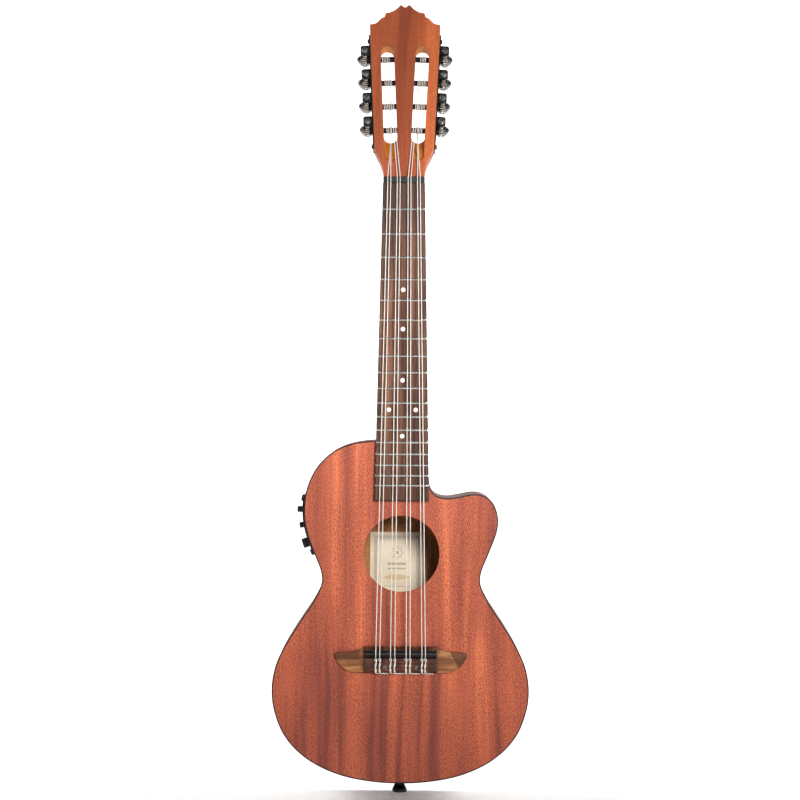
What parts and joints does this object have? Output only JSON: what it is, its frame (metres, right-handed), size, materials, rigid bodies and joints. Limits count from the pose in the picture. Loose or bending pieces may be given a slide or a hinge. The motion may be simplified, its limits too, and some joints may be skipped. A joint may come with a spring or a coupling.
{
  "type": "bouzouki",
  "caption": "Short-necked flat-topped lute in double courses, with a single cutaway, slotted headstock with worm tuners, side preamp and end-pin jack.",
  "frame": {"origin": "middle of the neck just under the headstock, where a hanger's fork holds it", "axes": "+Z along the neck to the headstock, -Y out of the soundboard, +X to the treble side; the instrument stands upright"},
  "size_m": [0.238, 0.0818, 0.7409],
  "materials": {
    "body_mahogany": "satin open-pored mahogany with ribbon figure",
    "neck_mahogany": "satin open-pored mahogany",
    "inner_wood": "raw unfinished wood",
    "fingerboard_walnut": "oiled dark brown wood",
    "bridge_wood": "oiled dark reddish brown wood",
    "black_bone": "polished black",
    "binding_black": "scraped black",
    "black_plastic": "moulded black",
    "nylon": "clear cream nylon",
    "label_paper": "matt cream paper",
    "battery_case": "dark printed sleeve",
    "pickup_strip": "thin metal braid",
    "black_metal": "black satin plating",
    "pearl_button": "dark grey pearl"
  },
  "bodies": {
    "instrument": {"back_brace_lower": "inner_wood", "back_brace_upper": "inner_wood", "back_plate": "body_mahogany", "battery": "battery_case", "bridge": "bridge_wood", "bridge_plate": "inner_wood", "end_pin_jack": "black_metal", "fingerboard": "fingerboard_walnut", "headstock": "neck_mahogany", "headstock_veneer": "neck_mahogany", "heel_cap": "binding_black", "label": "label_paper", "lining_back_bass": "inner_wood", "lining_back_treble": "inner_wood", "lining_top_bass": "inner_wood", "lining_top_treble": "inner_wood", "neck": "neck_mahogany", "neck_block": "inner_wood", "nut": "black_bone", "piezo_pickup": "pickup_strip", "preamp_case": "black_plastic", "preamp_panel": "black_plastic", "saddle": "black_bone", "side_bass": "body_mahogany", "side_treble": "body_mahogany", "soundboard": "body_mahogany", "soundboard_brace_lower": "inner_wood", "soundboard_brace_upper": "inner_wood", "string_1": "nylon", "string_2": "nylon", "string_3": "nylon", "string_4": "nylon", "string_5": "nylon", "string_6": "nylon", "string_7": "nylon", "string_8": "nylon", "tail_block": "inner_wood", "top_binding": "binding_black", "tuner_plate_bass": "black_metal", "tuner_plate_treble": "black_metal"},
    "knob_1": {"tuner_knob_1": "pearl_button"},
    "roller_1": {"tuner_roller_1": "black_metal"},
    "knob_2": {"tuner_knob_2": "pearl_button"},
    "roller_2": {"tuner_roller_2": "black_metal"},
    "knob_3": {"tuner_knob_3": "pearl_button"},
    "roller_3": {"tuner_roller_3": "black_metal"},
    "knob_4": {"tuner_knob_4": "pearl_button"},
    "roller_4": {"tuner_roller_4": "black_metal"},
    "knob_5": {"tuner_knob_5": "pearl_button"},
    "roller_5": {"tuner_roller_5": "black_metal"},
    "knob_6": {"tuner_knob_6": "pearl_button"},
    "roller_6": {"tuner_roller_6": "black_metal"},
    "knob_7": {"tuner_knob_7": "pearl_button"},
    "roller_7": {"tuner_roller_7": "black_metal"},
    "knob_8": {"tuner_knob_8": "pearl_button"},
    "roller_8": {"tuner_roller_8": "black_metal"},
    "volume_knob_body": {"volume_knob": "black_plastic"},
    "bass_knob_body": {"bass_knob": "black_plastic"},
    "treble_knob_body": {"treble_knob": "black_plastic"},
    "tuner_key_body": {"tuner_key": "black_plastic"}
  },
  "joints": [
    {"name": "knob_1_turn", "type": "hinge", "parent": "instrument", "child": "knob_1", "pos_m": [-0.03454, 0.01574, 0.07717], "axis": [0, 0.9659, -0.2588], "continuous": true},
    {"name": "roller_1_turn", "type": "hinge", "parent": "instrument", "child": "roller_1", "pos_m": [-0.02861, 0.01387, 0.07018], "axis": [-0.999, -0.0118, -0.0439], "continuous": true},
    {"name": "knob_2_turn", "type": "hinge", "parent": "instrument", "child": "knob_2", "pos_m": [-0.03562, 0.02187, 0.10004], "axis": [0, 0.9659, -0.2588], "continuous": true},
    {"name": "roller_2_turn", "type": "hinge", "parent": "instrument", "child": "roller_2", "pos_m": [-0.02969, 0.02, 0.09305], "axis": [-0.999, -0.0118, -0.0439], "continuous": true},
    {"name": "knob_3_turn", "type": "hinge", "parent": "instrument", "child": "knob_3", "pos_m": [-0.0367, 0.028, 0.12291], "axis": [0, 0.9659, -0.2588], "continuous": true},
    {"name": "roller_3_turn", "type": "hinge", "parent": "instrument", "child": "roller_3", "pos_m": [-0.03076, 0.02612, 0.11592], "axis": [-0.999, -0.0118, -0.0439], "continuous": true},
    {"name": "knob_4_turn", "type": "hinge", "parent": "instrument", "child": "knob_4", "pos_m": [-0.03778, 0.03415, 0.14588], "axis": [0, 0.9659, -0.2588], "continuous": true},
    {"name": "roller_4_turn", "type": "hinge", "parent": "instrument", "child": "roller_4", "pos_m": [-0.03184, 0.03228, 0.13888], "axis": [-0.999, -0.0118, -0.0439], "continuous": true},
    {"name": "knob_5_turn", "type": "hinge", "parent": "instrument", "child": "knob_5", "pos_m": [0.03778, 0.03415, 0.14588], "axis": [0, 0.9659, -0.2588], "continuous": true},
    {"name": "roller_5_turn", "type": "hinge", "parent": "instrument", "child": "roller_5", "pos_m": [0.03184, 0.03228, 0.13888], "axis": [0.999, -0.0118, -0.0439], "continuous": true},
    {"name": "knob_6_turn", "type": "hinge", "parent": "instrument", "child": "knob_6", "pos_m": [0.0367, 0.028, 0.12291], "axis": [0, 0.9659, -0.2588], "continuous": true},
    {"name": "roller_6_turn", "type": "hinge", "parent": "instrument", "child": "roller_6", "pos_m": [0.03076, 0.02612, 0.11592], "axis": [0.999, -0.0118, -0.0439], "continuous": true},
    {"name": "knob_7_turn", "type": "hinge", "parent": "instrument", "child": "knob_7", "pos_m": [0.03562, 0.02187, 0.10004], "axis": [0, 0.9659, -0.2588], "continuous": true},
    {"name": "roller_7_turn", "type": "hinge", "parent": "instrument", "child": "roller_7", "pos_m": [0.02969, 0.02, 0.09305], "axis": [0.999, -0.0118, -0.0439], "continuous": true},
    {"name": "knob_8_turn", "type": "hinge", "parent": "instrument", "child": "knob_8", "pos_m": [0.03454, 0.01574, 0.07717], "axis": [0, 0.9659, -0.2588], "continuous": true},
    {"name": "roller_8_turn", "type": "hinge", "parent": "instrument", "child": "roller_8", "pos_m": [0.02861, 0.01387, 0.07018], "axis": [0.999, -0.0118, -0.0439], "continuous": true},
    {"name": "volume_turn", "type": "hinge", "parent": "instrument", "child": "volume_knob_body", "pos_m": [-0.08466, 0.0175, -0.3127], "axis": [-0.9437, 0, -0.3308], "range_deg": [-140, 140]},
    {"name": "bass_turn", "type": "hinge", "parent": "instrument", "child": "bass_knob_body", "pos_m": [-0.08908, 0.0175, -0.2971], "axis": [-0.9864, 0, -0.1646], "range_deg": [-140, 140]},
    {"name": "treble_turn", "type": "hinge", "parent": "instrument", "child": "treble_knob_body", "pos_m": [-0.09036, 0.0175, -0.283], "axis": [-0.9998, 0, 0.0192], "range_deg": [-140, 140]},
    {"name": "key_press", "type": "slide", "parent": "instrument", "child": "tuner_key_body", "axis": [0.9864, 0, 0.1646], "range_m": [0, 0.0008], "stiffness_N_per_m": 400, "springref_m": -0.0004}
  ],
  "couplings": [
    {"joint": "roller_1_turn", "follows": "knob_1_turn", "ratio": -0.071429},
    {"joint": "roller_2_turn", "follows": "knob_2_turn", "ratio": -0.071429},
    {"joint": "roller_3_turn", "follows": "knob_3_turn", "ratio": -0.071429},
    {"joint": "roller_4_turn", "follows": "knob_4_turn", "ratio": -0.071429},
    {"joint": "roller_5_turn", "follows": "knob_5_turn", "ratio": 0.071429},
    {"joint": "roller_6_turn", "follows": "knob_6_turn", "ratio": 0.071429},
    {"joint": "roller_7_turn", "follows": "knob_7_turn", "ratio": 0.071429},
    {"joint": "roller_8_turn", "follows": "knob_8_turn", "ratio": 0.071429}
  ]
}
